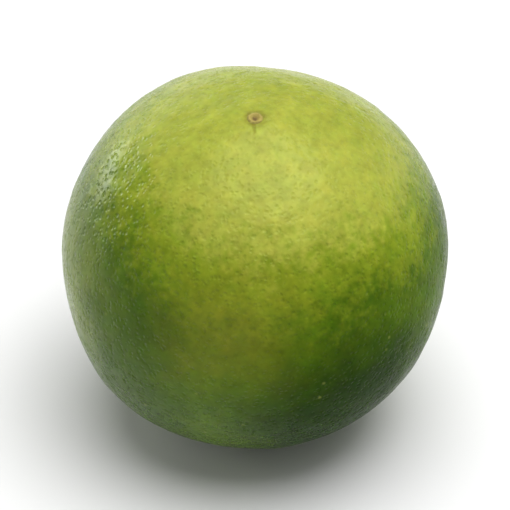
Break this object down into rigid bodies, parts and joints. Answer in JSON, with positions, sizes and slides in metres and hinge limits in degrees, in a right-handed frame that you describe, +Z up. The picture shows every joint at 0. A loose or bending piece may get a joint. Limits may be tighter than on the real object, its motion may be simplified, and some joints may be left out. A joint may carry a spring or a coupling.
{
  "type": "lime",
  "caption": "Whole green lime standing blossom end up on a small flat spot, with the blossom scar on top and the dried stem button in a shallow basin underneath.",
  "frame": {"origin": "middle of the small flat spot underneath that the lime rests on", "axes": "+Z up, close to the blossom end; -Y is the front, the side that the blossom end leans towards by 8.5 degrees; +X is to the right seen from the front"},
  "size_m": [0.0566, 0.0567, 0.0565],
  "materials": {
    "rind": "satin",
    "calyx": "matte"
  },
  "bodies": {
    "root": {"fruit": "rind", "stem_button": "calyx"}
  },
  "joints": []
}
